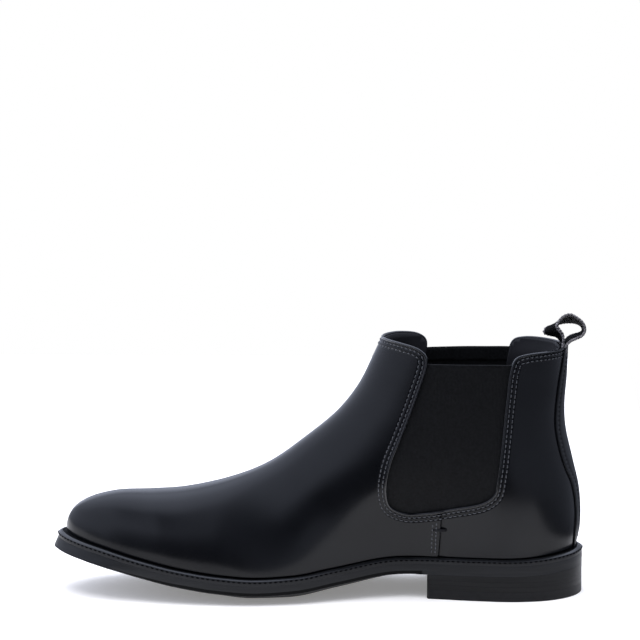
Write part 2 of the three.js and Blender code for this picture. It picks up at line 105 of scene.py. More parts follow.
# ---- lines of the last, as (x, z), and the welt's outline from above, as (x, y) ----
FRONT_LINE = [
    (-146.4, 34.9), (-146.2, 40.5), (-142.8, 47.6), (-134.5, 53), (-118.3, 57), (-96, 57.7), (-78, 59),
    (-51.6, 65), (-29.3, 74.2), (-7.1, 90), (11.6, 106), (23.3, 121.3), (31.5, 138), (36.6, 149.2),
]
BACK_LINE = [
    (149, 28), (151.1, 40), (150.4, 60.3), (146.3, 78.5), (142.1, 96.9), (141.3, 110), (142.5, 128),
    (143, 144.1),
]
WELT_TOP_LINE = [
    (-151.3, 34.6), (-139, 32.3), (-126.5, 29.9), (-103.5, 24.4), (-80.5, 19.8), (-57.5, 16.7),
    (-34.5, 15.2), (-11.5, 16.1), (11.5, 19.3), (46, 23.8), (80, 24.3), (114, 24.6), (153.2, 27.1),
]
TREAD_LINE = [
    (-153.9, 29.3), (-139, 20.5), (-124, 16), (-103, 11), (-80, 6), (-57, 2.3), (-38, 0), (-18, 0),
    (11.5, 4.8), (39.5, 10.6), (HEEL_BREAST, 14.3),
]
OPENING_LINE = [
    (36, 149.3), (47.2, 148.4), (57.3, 146.1), (61.6, 142.6), (62.2, 137.7), (56.3, 118.2), (48.5, 97.2),
    (41.3, 78.3), (39.5, 63), (42, 54.4), (51.1, 49.9), (64.5, 51), (77.9, 53.6), (95.5, 57.8),
    (101.4, 62.6), (103.4, 72), (105.8, 92.9), (108.4, 119.9), (110.4, 135), (113.2, 141.6),
    (119.2, 143.7), (150, 144),
]
STRIP_EDGE = [
    (141, 146), (140.2, 137.8), (137.6, 121.5), (136.2, 101.5), (138.4, 88), (142, 76), (146.4, 64.8),
    (148.6, 50), (147.6, 26),
]
OUTLINE = [
    (-151.3, -3), (-147.5, 8.5), (-138, 18.5), (-124, 27.5), (-103, 36.5), (-80, 43.5), (-45, 51),
    (-15, 52.5), (11, 46.5), (35, 39), (63, 34), (90, 33.5), (112, 32.5), (134, 26.5), (148, 14.5),
    (153.2, 0), (148, -16), (134, -27.5), (114, -32), (90, -30), (63, -25.5), (45, -25), (11, -34.5),
    (-11, -42), (-42, -46), (-80, -43), (-103, -38), (-124, -31.5), (-138, -23.5), (-147.5, -13.5),
]
# the last's own origin in the frame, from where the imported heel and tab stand
HEEL_BOX = [np.array(p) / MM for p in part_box("heel_top_piece")]
TAB_BOX = [np.array(p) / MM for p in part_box("pull_tab")]
ORIGIN = np.array([
    HEEL_BOX[0][0] - HEEL_BREAST,
    (TAB_BOX[0][1] + TAB_BOX[1][1]) / 2 - SHAFT_Y,
    HEEL_BOX[0][2],
])


# ---- small maths ----
def ease(t):
    t = np.clip(t, 0, 1)
    return t * t * (3 - 2 * t)


def dome(t):
    """A rounded rise from 0, upright, to 1, level."""
    return np.sqrt(np.maximum(0, 1 - (1 - np.clip(t, 0, 1)) ** 2.1))


def mix(a, b, t):
    return a + (b - a) * t


def unit(vectors):
    """The same vectors with a length of one."""
    return vectors / np.maximum(1e-9, np.linalg.norm(vectors, axis=-1, keepdims=True))


def through(points):
    """A smooth function of x through points (x, value), which never overshoots them."""
    xs, ys = np.array(points, float).T
    secants = np.diff(ys) / np.diff(xs)
    before = np.concatenate([secants[:1], secants])
    after = np.concatenate([secants, secants[-1:]])
    same = before * after > 0
    slope = np.where(same, 2 * before * after / np.where(same, before + after, 1), 0)

    def value(x):
        x = np.asarray(x, float)
        i = np.clip(np.searchsorted(xs, x, side="left") - 1, 0, len(xs) - 2)
        width = xs[i + 1] - xs[i]
        t = np.clip((x - xs[i]) / width, 0, 1)
        start = ys[i] * (1 + 2 * t) * (1 - t) ** 2 + ys[i + 1] * t * t * (3 - 2 * t)
        return start + width * (slope[i] * t * (1 - t) ** 2 - slope[i + 1] * t * t * (1 - t))

    return value


def curve(points, count, closed=False):
    """Points at even steps along a centripetal Catmull-Rom curve."""
    p = np.array(points, float)
    if closed:
        p = np.vstack([p[-1:], p, p[:2]])
    else:
        p = np.vstack([2 * p[:1] - p[1:2], p, 2 * p[-1:] - p[-2:-1]])
    t = np.linspace(0, 1, 40, endpoint=False)[:, None]
    pieces = []
    for a, b, c, d in zip(p, p[1:], p[2:], p[3:]):
        k0, k1, k2 = (max(1e-6, np.linalg.norm(v)) ** 0.5 for v in (b - a, c - b, d - c))
        m1 = ((b - a) / k0 - (c - a) / (k0 + k1) + (c - b) / k1) * k1
        m2 = ((c - b) / k1 - (d - b) / (k1 + k2) + (d - c) / k2) * k1
        pieces.append(
            (2 * t**3 - 3 * t**2 + 1) * b + (t**3 - 2 * t**2 + t) * m1
            + (3 * t**2 - 2 * t**3) * c + (t**3 - t**2) * m2
        )
    dense = np.vstack(pieces + [p[-2:-1]])
    return evenly(dense, count)


def run_along(points):
    """How far along a line each of its points lies."""
    return np.concatenate([[0], np.cumsum(np.linalg.norm(np.diff(points, axis=0), axis=1))])


def read_at(places, marks, points):
    """The points of a line at other places along it, where marks are the places of its own points."""
    return np.stack([np.interp(places, marks, column) for column in points.T], axis=1)


def evenly(points, count):
    """The same line with its points at even steps: count + 1 of them, both ends among them."""
    run = run_along(points)
    return read_at(np.linspace(0, run[-1], count + 1), run, points)


def length_of(points):
    return np.linalg.norm(np.diff(points, axis=0), axis=1).sum()


def moved_left(points, distance, closed=False):
    """A line in the plane, each point moved to the left of its way by a distance."""
    if closed:
        ahead = unit(np.roll(points, -1, axis=0) - np.roll(points, 1, axis=0))
    else:
        ahead = unit(np.gradient(points, axis=0))
    distance = np.broadcast_to(distance, len(points))
    return points + np.stack([-ahead[:, 1], ahead[:, 0]], axis=1) * distance[:, None]


# ---- the plan of the sole ----
SOLE = curve(OUTLINE, 720, closed=True)[:-1]


def plan(inset):
    """The sole's outline, from the toe to the lateral side, moved in by a distance or a function of x."""
    amount = inset(SOLE[:, 0]) if callable(inset) else inset
    moved = moved_left(SOLE, -amount, closed=True)
    return np.roll(moved, -int(moved[:, 0].argmin()), axis=0)


def edges_of(loop):
    """The medial and the lateral edge of a plan outline as functions of x, and the toe's x."""
    heel = int(loop[:, 0].argmax())
    lateral = loop[: heel + 1]
    medial = np.vstack([loop[:1], loop[heel:][::-1]])
    return (lambda x: np.interp(x, *medial.T)), (lambda x: np.interp(x, *lateral.T)), loop[0, 0]


# ---- the last ----
welt_top = through(WELT_TOP_LINE)
tread = through(TREAD_LINE)
UPPER_MEDIAL, UPPER_LATERAL, UPPER_TOE = edges_of(
    plan(lambda x: mix(*UPPER_INSET, ease((x + 100) / 200)))
)
FRONT = curve(FRONT_LINE, 300)
BACK = curve(BACK_LINE, 200)
shaft_half_width = through([(20, 36), (60, 35), (100, 32.5), (136, 31.5), (150, 31.5)])


def feather(x):
    return welt_top(x) + GAP


def distance_to(line, x, z):
    """The distance from each place (x, z) to a polyline."""
    step = np.diff(line, axis=0)
    best = np.full(np.shape(x), np.inf)
    for start, way, square in zip(line, step, (step**2).sum(1)):
        t = np.clip(((x - start[0]) * way[0] + (z - start[1]) * way[1]) / square, 0, 1)
        best = np.minimum(best, np.hypot(x - start[0] - t * way[0], z - start[1] - t * way[1]))
    return best


def last_at(x, z):
    """Half width and centre line of the last at places (x, z) of the side view."""
    station = np.clip(x, UPPER_TOE, HEEL_STRAIGHT)
    medial, lateral = UPPER_MEDIAL(station), UPPER_LATERAL(station)
    foot = (lateral - medial) / 2
    rise = z - feather(x)
    wide = shaft_half_width(z)
    shaft = mix(np.minimum(wide, foot), wide, ease((x + 60) / 60))
    full = mix(foot, shaft, ease(rise / 70))
    top = np.interp(x, *FRONT.T)
    over_toe = (top - z) / np.maximum(1, (1 - UPRIGHT) * (top - feather(x)))
    over_shaft = distance_to(FRONT[::3], x, z) / SHIN_ROUND
    front = mix(over_toe, over_shaft, ease((x + 60) / 40))
    back = (np.interp(z, BACK[:, 1], BACK[:, 0]) - x) / HEEL_ROUND
    return full * dome(front) * dome(back), mix((lateral + medial) / 2, SHAFT_Y, ease(rise / 60))


# ---- the upper's surface, as a grid of loops from the welt to the topline ----
def upper_grid(side_steps, levels):
    """The skin's points and outward normals: rows go up, columns go round from the toe's ridge."""
    s = np.arange(side_steps + 1) / side_steps
    u = mix(s, (1 - np.cos(np.pi * s)) / 2, 0.93)
    v = (np.arange(levels + 1) / levels) ** 1.25
    front = read_at(v * (len(FRONT) - 1), np.arange(len(FRONT)), FRONT)
    back = read_at(v * (len(BACK) - 1), np.arange(len(BACK)), BACK)
    x0 = mix(FRONT[0, 0], BACK[0, 0], u)
    low = np.stack([x0, feather(x0)], axis=1)
    high = mix(FRONT[-1], BACK[-1], u[:, None])
    ends = mix(FRONT[0], BACK[0], u[:, None])
    tall, wide = v[:, None, None], u[None, :, None]
    xz = (
        (1 - tall) * low[None] + tall * high[None] + mix(front[:, None], back[:, None], wide)
        - (1 - tall) * ends[None] - tall * high[None]
    )
    half, centre = last_at(xz[..., 0], xz[..., 1])
    half[:, 0] = half[:, -1] = 0
    medial = np.stack([xz[..., 0], centre - half, xz[..., 1]], axis=-1)
    lateral = np.stack([xz[..., 0], centre + half, xz[..., 1]], axis=-1)[:, -2:0:-1]
    grid = np.concatenate([medial, lateral], axis=1)
    across = np.roll(grid, -1, axis=1) - np.roll(grid, 1, axis=1)
    up = np.gradient(grid, axis=0)
    return grid, unit(np.cross(across, up))


SIDE_STEPS = 190
GRID, NORMALS = upper_grid(SIDE_STEPS, 150)
COLUMNS = GRID.shape[1]


def ring_faces(rings, count):
    """Faces between closed rings of count points, one ring after another, and a face over each end."""
    ids = np.arange(rings * count).reshape(rings, count)
    ahead = np.roll(ids, -1, axis=1)
    quads = np.stack([ids[:-1], ahead[:-1], ahead[1:], ids[1:]], axis=-1).reshape(-1, 4)
    return [*quads.tolist(), ids[0, ::-1].tolist(), ids[-1].tolist()]


SKIN = BVHTree.FromPolygons(GRID.reshape(-1, 3).tolist(), ring_faces(len(GRID), COLUMNS)[:-2])


def on_skin(x, z, side, depth):
    """The place and the outward normal at (x, z), depth below the skin, on side -1 medial or 1 lateral."""
    half, centre = last_at(np.float64(x), np.float64(z))
    spot, normal, _, _ = SKIN.find_nearest(Vector((x, float(centre + side * half), z)))
    if normal.dot(Vector((0, side, 0))) < -0.2 or normal.length == 0:
        normal = -normal
    return np.array(spot) - np.array(normal) * depth, np.array(normal)


# ---- meshes ----
def placed(name, data):
    """A new object in the scene."""
    obj = bpy.data.objects.new(name, data)
    bpy.context.scene.collection.objects.link(obj)
    return obj


def make_object(name, verts, faces, material):
    mesh = bpy.data.meshes.new(name)
    places = (np.asarray(verts, float) + ORIGIN) * MM
    mesh.from_pydata(places.tolist(), [], [list(map(int, face)) for face in faces])
    mesh.validate()
    mesh.polygons.foreach_set("use_smooth", [True] * len(mesh.polygons))
    mesh.materials.append(material)
    mesh.update()
    return placed(name, mesh)


def set_values(obj, name, values):
    """One number at each point of a mesh, for its material to read."""
    attribute = obj.data.attributes.new(name, "FLOAT", "POINT")
    attribute.data.foreach_set("value", np.asarray(values, np.float32))


def clip(points, normals, field, extra, wrap):
    """The part of a grid where field is above 0, cut on its zero line: points, normals, extra and faces."""
    rows, columns = field.shape
    data = np.concatenate([points, normals, extra[..., None]], axis=-1)
    inside = field > 0
    ids = np.full(field.shape, -1)
    ids[inside] = np.arange(inside.sum())
    kept = list(data[inside])
    cuts = {}

    def cut(a, b):
        key = (a, b) if a < b else (b, a)
        if key not in cuts:
            row = mix(data[a], data[b], field[a] / (field[a] - field[b]))
            row[3:6] /= np.linalg.norm(row[3:6])
            cuts[key] = len(kept)
            kept.append(row)
        return cuts[key]

    faces = []
    for i in range(rows - 1):
        for j in range(columns if wrap else columns - 1):
            k = (j + 1) % columns
            corners = [(i, j), (i, k), (i + 1, k), (i + 1, j)]
            here = [inside[c] for c in corners]
            if not any(here):
                continue
            if all(here):
                faces.append([ids[c] for c in corners])
                continue
            face = []
            for c, d in zip(corners, corners[1:] + corners[:1]):
                if inside[c]:
                    face.append(ids[c])
                if inside[c] != inside[d]:
                    face.append(cut(c, d))
            if len(face) > 2:
                faces.append(face)
    kept = np.array(kept)
    return kept[:, :3], kept[:, 3:6], kept[:, 6], faces


def thickened(points, normals, faces, thick):
    """A closed shell: the faces, a copy moved in by thick, and walls round the edge."""
    count = len(points)
    inner = points - normals * thick
    seen = dict.fromkeys((a, b) for face in faces for a, b in zip(face, face[1:] + face[:1]))
    walls = [[b, a, a + count, b + count] for a, b in seen if (b, a) not in seen]
    back = [[v + count for v in reversed(face)] for face in faces]
    return np.vstack([points, inner]), faces + back + walls


def skin_piece(name, field, thick, material, lift, columns=None, extra=None, step=1):
    """A piece of the upper, cut from the skin where field is above 0 and lifted off it by lift."""
    extra = np.zeros(field.shape) if extra is None else extra
    lift = np.broadcast_to(lift, field.shape)
    points, normals, field, extra, lift = (a[::step, ::step] for a in (GRID, NORMALS, field, extra, lift))
    if columns is not None:
        points, normals, field, extra, lift = (a[:, columns] for a in (points, normals, field, extra, lift))
    raised = points + normals * lift[..., None]
    p, n, e, faces = clip(raised, normals, field, extra, wrap=columns is None)
    verts, faces = thickened(p, n, faces, thick)
    obj = make_object(name, verts, faces, material)
    set_values(obj, "edge_mm", np.concatenate([e, e]))
    return obj


def sweep(path, normals, section):
    """A tube: the section's points (side, up) at each point of the path, where up is the normal there."""
    path, normals = np.asarray(path, float), np.asarray(normals, float)
    ahead = unit(np.gradient(path, axis=0))
    side = unit(np.cross(ahead, normals))
    up = np.cross(side, ahead)
    section = np.asarray(section, float)
    verts = path[:, None] + side[:, None] * section[None, :, :1] + up[:, None] * section[None, :, 1:]
    return verts.reshape(-1, 3), ring_faces(len(path), len(section))


def ellipse(width, height, count=10):
    angle = np.linspace(0, 2 * np.pi, count, endpoint=False)
    return np.stack([np.cos(angle) * width, np.sin(angle) * height], axis=1)


def joined(parts):
    """Several (points, faces) as one."""
    verts, faces, start = [], [], 0
    for v, f in parts:
        verts.append(v)
        faces += [[i + start for i in face] for face in f]
        start += len(v)
    return np.vstack(verts), faces


STITCH_SINK = (-0.75, 0.1, 0.35, 0.1, -0.75)  # in radii: both ends dip into the leather
STITCH_SIZE = (0.45, 0.95, 1.0, 0.95, 0.45)
STITCH_SIDES = 6


def stitches(path, normals, pitch=2.9, long=2.3, radius=0.4):
    """A row of thread stitches along a path: small beads that dip into the leather at both ends."""
    count = max(1, int(round(length_of(path) / pitch)))
    fine = np.hstack([path, normals])
    run = run_along(path)
    angle = np.linspace(0, 2 * np.pi, STITCH_SIDES, endpoint=False)
    parts = []
    for i in range(count):
        middle = (i + 0.5) * run[-1] / count
        at = np.linspace(middle - long / 2, middle + long / 2, len(STITCH_SINK))
        row = read_at(at, run, fine)
        p, n = row[:, :3], row[:, 3:]
        ahead = p[-1] - p[0]
        ahead /= np.linalg.norm(ahead)
        side = np.cross(ahead, n[2])
        side /= np.linalg.norm(side)
        up = np.cross(side, ahead)
        rings = [
            spot + up * sink * radius + radius * size * (np.cos(a) * side + np.sin(a) * up)
            for spot, sink, size in zip(p, STITCH_SINK, STITCH_SIZE)
            for a in angle
        ]
        parts.append((np.array(rings), ring_faces(len(STITCH_SINK), STITCH_SIDES)))
    return joined(parts)


def skin_path(line, side, depth=0.0):
    """A line of places (x, z) laid on the skin: points and normals."""
    found = [on_skin(x, z, side, depth) for x, z in line]
    return np.array([p for p, _ in found]), np.array([n for _, n in found])


# ---- materials ----
def node_maker(tree):
    """A function that adds a shader node to a tree, with its inputs and its settings."""

    def node(kind, **settings):
        new = tree.nodes.new("ShaderNode" + kind)
        for key, value in settings.items():
            if key in new.inputs:
                new.inputs[key].default_value = value
            else:
                setattr(new, key.lower(), value)
        return new

    return node


def link(source, target):
    target.id_data.links.new(source, target)


def set_inputs(node, **values):
    """Values for a node's inputs, with _ for each space in their names."""
    for key, value in values.items():
        node.inputs[key.replace("_", " ")].default_value = value


def material(name):
    """A new node material: the material, its shader, and the function that adds nodes to it."""
    made = bpy.data.materials.new(name)
    made.use_nodes = True
    return made, made.node_tree.nodes["Principled BSDF"], node_maker(made.node_tree)


def tint(node, value, low, high, start=0.2, end=0.8):
    """A colour that goes from low, where value is start, to high, where it is end."""
    ramp = node("ValToRGB")
    ramp.color_ramp.interpolation = "EASE"
    for element, position, colour in zip(ramp.color_ramp.elements, (start, end), (low, high)):
        element.position = position
        element.color = (*colour, 1)
    link(value, ramp.inputs["Fac"])
    return ramp.outputs["Color"]


def bumps(node, shader, layers):
    """Bump maps on top of each other: (height socket, strength, depth in millimetres) each."""
    last = None
    for height, strength, depth in layers:
        bump = node("Bump", Strength=strength, Distance=depth * MM)
        link(height, bump.inputs["Height"])
        if last is not None:
            link(last, bump.inputs["Normal"])
        last = bump.outputs["Normal"]
    link(last, shader.inputs["Normal"])


def place(node):
    return node("TexCoord").outputs["Object"]


def noise(node, where, scale, detail, rough=0.5):
    texture = node("TexNoise", Scale=scale, Detail=detail, Roughness=rough)
    link(where, texture.inputs["Vector"])
    return texture.outputs["Fac"]


def attribute(node, name):
    return node("Attribute", attribute_name=name).outputs["Fac"]


def ranged(node, value, low, high, start=0.0, end=1.0, way="LINEAR"):
    """A value that goes from low, where the given one is start, to high, where it is end."""
    made = node("MapRange", interpolation_type=way)
    set_inputs(made, From_Min=start, From_Max=end, To_Min=low, To_Max=high)
    link(value, made.inputs["Value"])
    return made.outputs["Result"]


def calc(node, operation, *values):
    made = node("Math", operation=operation)
    for socket, value in zip(made.inputs, values):
        if isinstance(value, (int, float)):
            socket.default_value = value
        else:
            link(value, socket)
    return made.outputs[0]


def wave(node, value, rate):
    return calc(node, "SINE", calc(node, "MULTIPLY", value, rate))


def leather(name, low, high, roughness, grain=0.25, rows=(), coat=0.05):
    """Polished leather: fine pores, soft undulation, a groove under each stitch row, a waxed top coat."""
    made, shader, node = material(name)
    where = place(node)
    mottled = noise(node, where, 42, 2, 0.4)
    link(tint(node, mottled, low, high), shader.inputs["Base Color"])
    fine = noise(node, where, 1400, 3, 0.5)
    broad = noise(node, where, 17, 1)
    link(ranged(node, mottled, roughness * 0.92, roughness * 1.1), shader.inputs["Roughness"])
    layers = [(broad, 0.3, 2.2), (fine, grain, 0.04)]
    if rows:
        edge = attribute(node, "edge_mm")
        groove = None
        for row in rows:
            away = calc(node, "ABSOLUTE", calc(node, "SUBTRACT", edge, row))
            dip = calc(node, "MINIMUM", calc(node, "MULTIPLY", away, 1.1), 1.0)
            groove = dip if groove is None else calc(node, "MULTIPLY", groove, dip)
        layers.append((groove, 0.8, 0.35))
    bumps(node, shader, layers)
    set_inputs(shader, Specular_IOR_Level=0.21, Coat_Weight=coat, Coat_Roughness=0.16, Coat_IOR=1.45)
    return made


def cloth(name, low, high, rib_mm, sheen):
    """Woven elastic: fine upright ribs crossed by the weft, with a little fuzz."""
    made, shader, node = material(name)
    where = place(node)
    split = node("SeparateXYZ")
    link(where, split.inputs[0])
    rib = 2 * math.pi / (rib_mm * MM)
    ribs = wave(node, split.outputs["X"], rib)
    weft = wave(node, split.outputs["Z"], rib * 1.35)
    weave = calc(node, "MULTIPLY_ADD", calc(node, "MULTIPLY", ribs, weft), 0.35, ribs)
    fuzz = noise(node, where, 700, 3)
    link(tint(node, fuzz, low, high), shader.inputs["Base Color"])
    bumps(node, shader, [(weave, 0.3, 0.25), (fuzz, 0.6, 0.15)])
    set_inputs(shader, Roughness=0.85, Sheen_Weight=sheen, Sheen_Roughness=0.5, Specular_IOR_Level=0.25)
    return made


def plain(
    name, low, high, roughness, scale, grain=0.3, depth=0.15, metallic=0.0, stretch=(1, 1, 1), shine=0.17
):
    """A worked surface: mottled colour, uneven gloss and fine grain, drawn out along one way by stretch."""
    made, shader, node = material(name)
    mapping = node("Mapping")
    mapping.inputs["Scale"].default_value = stretch
    link(place(node), mapping.inputs["Vector"])
    where = mapping.outputs["Vector"]
    mottled = noise(node, where, scale, 5, 0.6)
    fine = noise(node, where, scale * 9, 3, 0.6)
    link(tint(node, mottled, low, high), shader.inputs["Base Color"])
    link(ranged(node, fine, roughness * 0.8, roughness * 1.2), shader.inputs["Roughness"])
    bumps(node, shader, [(mottled, grain, depth), (fine, grain, depth * 0.4)])
    set_inputs(shader, Metallic=metallic, Specular_IOR_Level=0.5 if metallic else shine)
    return made


ROWS = (2.0, 4.3)  # how far the two stitch rows lie from the opening's edge
BLACK = ((0.0032, 0.0035, 0.0044), (0.005, 0.0054, 0.0066))
INKED = dict(roughness=0.42, scale=90, grain=0.3, depth=0.1, stretch=(0.25, 0.25, 5))
SEWN = dict(scale=1400, grain=0.5, depth=0.08)
UPPER = leather("leather_upper", *BLACK, 0.225, rows=ROWS)
STRIP = leather("leather_strip", *BLACK, 0.48, rows=(1.7,), coat=0.0)
LINED = leather("leather_lining", (0.012, 0.012, 0.014), (0.02, 0.02, 0.023), 0.55, grain=0.5, coat=0.0)
ELASTIC = cloth("elastic_woven", (0.0003, 0.0003, 0.0004), (0.0042, 0.0044, 0.0049), 0.8, 0.04)
FOLDED = leather("leather_folded_edge", (0.004, 0.0044, 0.0054), (0.0065, 0.007, 0.0085), 0.2, coat=0.8)
THREAD = plain("thread_waxed", (0.018, 0.0185, 0.021), (0.085, 0.088, 0.096), 0.26, shine=0.6, **SEWN)
DARK_THREAD = plain("thread_dark", (0.006, 0.006, 0.007), (0.014, 0.014, 0.016), 0.5, **SEWN)
# the welt's groove and inner faces: leather darkened as painted shade, for the shadow under the upper's
# overhang
WELT_PAINTED_SHADE = plain(
    "welt_leather_painted_shade", (0.0016, 0.0017, 0.002), (0.0036, 0.0038, 0.0043), 0.6, 300, 0.35, 0.12, shine=0.06
)
RIM = plain(
    "welt_burnished_rim", (0.004, 0.0042, 0.0048), (0.008, 0.0084, 0.0092), 0.2, 300, 0.2, 0.03, shine=0.5
)
# the foot of the sole edge: ink darkened as painted shade, for the contact shadow mirrored in the edge
EDGE_FOOT_PAINTED_SHADE = plain(
    "sole_edge_painted_shade", (0.0022, 0.0023, 0.0025), (0.0044, 0.0046, 0.0049), 0.6, 260, 0.4, 0.12, shine=0.06
)
PRICKED = plain(
    "welt_thread", (0.0006, 0.0006, 0.0007), (0.002, 0.002, 0.0022), 0.8, 900, 0.5, 0.08, shine=0.02
)
HEEL = plain("heel_edge_ink", (0.0046, 0.0047, 0.0051), (0.0086, 0.0087, 0.0092), **INKED)
EDGE = plain("sole_edge_ink", (0.009, 0.0094, 0.0104), (0.0155, 0.0162, 0.0178), **INKED)
RUBBER = plain("heel_rubber", (0.006, 0.006, 0.007), (0.0105, 0.0105, 0.0115), 0.5, 260, 0.4, 0.12)
TREAD = plain("tread_rubber", (0.012, 0.012, 0.013), (0.024, 0.024, 0.026), 0.55, 420, 0.6, 0.2)
SUEDE = plain("heel_grip_suede", (0.014, 0.014, 0.016), (0.024, 0.024, 0.027), 0.9, 900, 0.7, 0.15)
BOARD = plain("insole_board", (0.25, 0.15, 0.08), (0.38, 0.24, 0.13), 0.85, 300)
CORK = plain("cork", (0.28, 0.15, 0.06), (0.5, 0.29, 0.14), 0.95, 350, 0.8, 0.4)
FOAM = plain("foam", (0.5, 0.46, 0.4), (0.66, 0.62, 0.55), 0.95, 900, 0.8, 0.2)
PRESSED = plain("stiffener_sheet", (0.5, 0.46, 0.38), (0.66, 0.62, 0.54), 0.8, 200)
STEEL = plain(
    "spring_steel", (0.42, 0.43, 0.45), (0.58, 0.59, 0.61), 0.32, 500, 0.2, 0.05,
    metallic=1.0, stretch=(0.1, 4, 1),
)


def webbing_material():
    """Coarse jacquard webbing: chevron ribs, with paler yarns along both edges."""
    made, shader, node = material("webbing_jacquard")
    across = attribute(node, "across")
    along = attribute(node, "along_mm")
    slope = calc(node, "MULTIPLY", calc(node, "ABSOLUTE", across), 9.0)
    twill = wave(node, calc(node, "ADD", along, slope), 5.2)
    yarn = wave(node, across, 46.0)
    weave = calc(node, "ADD", twill, calc(node, "MULTIPLY", yarn, 0.6))
    edge = ranged(node, calc(node, "ABSOLUTE", across), 0, 1, 0.74, 0.8)
    fuzz = noise(node, place(node), 1300, 3)
    dark = tint(node, fuzz, (0.0014, 0.0013, 0.0014), (0.0065, 0.0055, 0.0063))
    pale = tint(node, weave, (0.08, 0.072, 0.075), (0.5, 0.47, 0.47), 0.0, 0.9)
    blend = node("Mix", data_type="RGBA")
    link(edge, blend.inputs["Factor"])
    dark_in, pale_in, mixed = (s for s in [*blend.inputs, *blend.outputs] if s.type == "RGBA")
    link(dark, dark_in)
    link(pale, pale_in)
    link(mixed, shader.inputs["Base Color"])
    bumps(node, shader, [(weave, 0.7, 0.3), (fuzz, 0.5, 0.12)])
    set_inputs(shader, Roughness=0.8, Specular_IOR_Level=0.06)
    return made


WEBBING = webbing_material()
YARN = plain("webbing_yarn", (0.02, 0.018, 0.019), (0.42, 0.395, 0.395), 0.7, 620, 0.6, 0.15)
# finishes of the pieces inside, which stay as they are in the frame
INSIDE = {"toe_puff": PRESSED, "heel_counter": PRESSED, "pull_tab_tail": WEBBING, "heel_pad": FOAM}
NAILS = [f"heel_nail_{number}" for number in (1, 2, 3, 4)]
INSIDE.update(dict.fromkeys(["shank", "shank_rivet_front", "shank_rivet_rear", "heel_screw", *NAILS], STEEL))
for node, finish in INSIDE.items():
    frame["nodes"][node].material_slots[0].material = finish


# ---- how pieces move ----
FLEX = next(j for j in frame["joints"] if j["name"] == "forefoot_flex")


def fixed(obj, node):
    """A piece that moves with the boot's main body."""
    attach(obj, "root")
    if node:
        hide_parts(node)


def flexing(obj, node):
    """A piece that crosses the ball of the foot: its CAD node is hidden and its transform baked into its
    mesh.
    """
    x, y, z = FLEX["pos_m"]
    if node:
        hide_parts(node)
    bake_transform(obj)


# ---- the cut lines of the upper ----
OPEN = curve(OPENING_LINE, 220)
X, Z = GRID[..., 0], GRID[..., 2]


def within(polygon, x, z):
    """Whether each place (x, z) lies inside a polygon."""
    inside = np.zeros(x.shape, bool)
    for (x0, z0), (x1, z1) in zip(polygon, np.roll(polygon, -1, axis=0)):
        if z0 != z1:
            crosses = (z0 > z) != (z1 > z)
            inside ^= crosses & (x < (x1 - x0) * (z - z0) / (z1 - z0) + x0)
    return inside


def soft_min(a, b, radius):
    """The smaller of two fields, with the corner between them rounded off."""
    blend = np.maximum(0, radius - np.abs(a - b)) / radius
    return np.minimum(a, b) - blend**2 * radius / 4


ABOVE = np.vstack([[(30, 175), (30, 149.35)], OPEN, [(160, 144), (160, 175)]])
INTO_LEATHER = np.where(within(ABOVE, X, Z), -1, 1) * distance_to(OPEN, X, Z)
TO_SEAM = SEAM_X + (Z - 38) * 0.06 - X
UNDER_GUSSET = np.maximum(60 - Z, X - 85)


def lap(x):
    """How far the vamp is lifted at x, over the quarters' edge."""
    return LAP_LIFT * ease((x - SEAM_X + LAP_START) / 9)


def vamp_lift_at(x, z):
    return float(lap(x)) if z < SEAM_HEIGHT and x < SEAM_X + 0.7 else 0.0


VAMP_LIFT = lap(X) * (Z < SEAM_HEIGHT)
QUARTER_LIFT = -LAP_TUCK * (1 - ease((X - SEAM_X - 0.4) / 4.5)) * (Z < SEAM_HEIGHT)
vamp_field = soft_min(INTO_LEATHER, TO_SEAM, 7)
vamp = skin_piece("vamp_upper", vamp_field, SKIN_THICK, UPPER, VAMP_LIFT, extra=INTO_LEATHER)
flexing(vamp, "vamp")
SIDES = (("medial", -1, slice(0, SIDE_STEPS + 1)), ("lateral", 1, [*range(SIDE_STEPS, COLUMNS), 0]))
quarter = np.minimum(np.minimum(INTO_LEATHER, UNDER_GUSSET), SEAM_OVERLAP - TO_SEAM)
for side, _, columns in SIDES:
    name = f"quarter_{side}_upper"
    piece = skin_piece(name, quarter, SKIN_THICK, UPPER, QUARTER_LIFT, columns, INTO_LEATHER)
    fixed(piece, f"quarter_{side}")

STRIP_LINE = curve(STRIP_EDGE, 60)
STRIP_LINE = STRIP_LINE[np.argsort(STRIP_LINE[:, 1])]
to_strip = X - np.interp(Z, STRIP_LINE[:, 1], STRIP_LINE[:, 0])
strip_field = np.minimum(to_strip, 144.0 - Z)
strip = skin_piece("back_strip_upper", strip_field, STRIP_THICK, STRIP, 0.85, extra=to_strip)
fixed(strip, "back_strip")

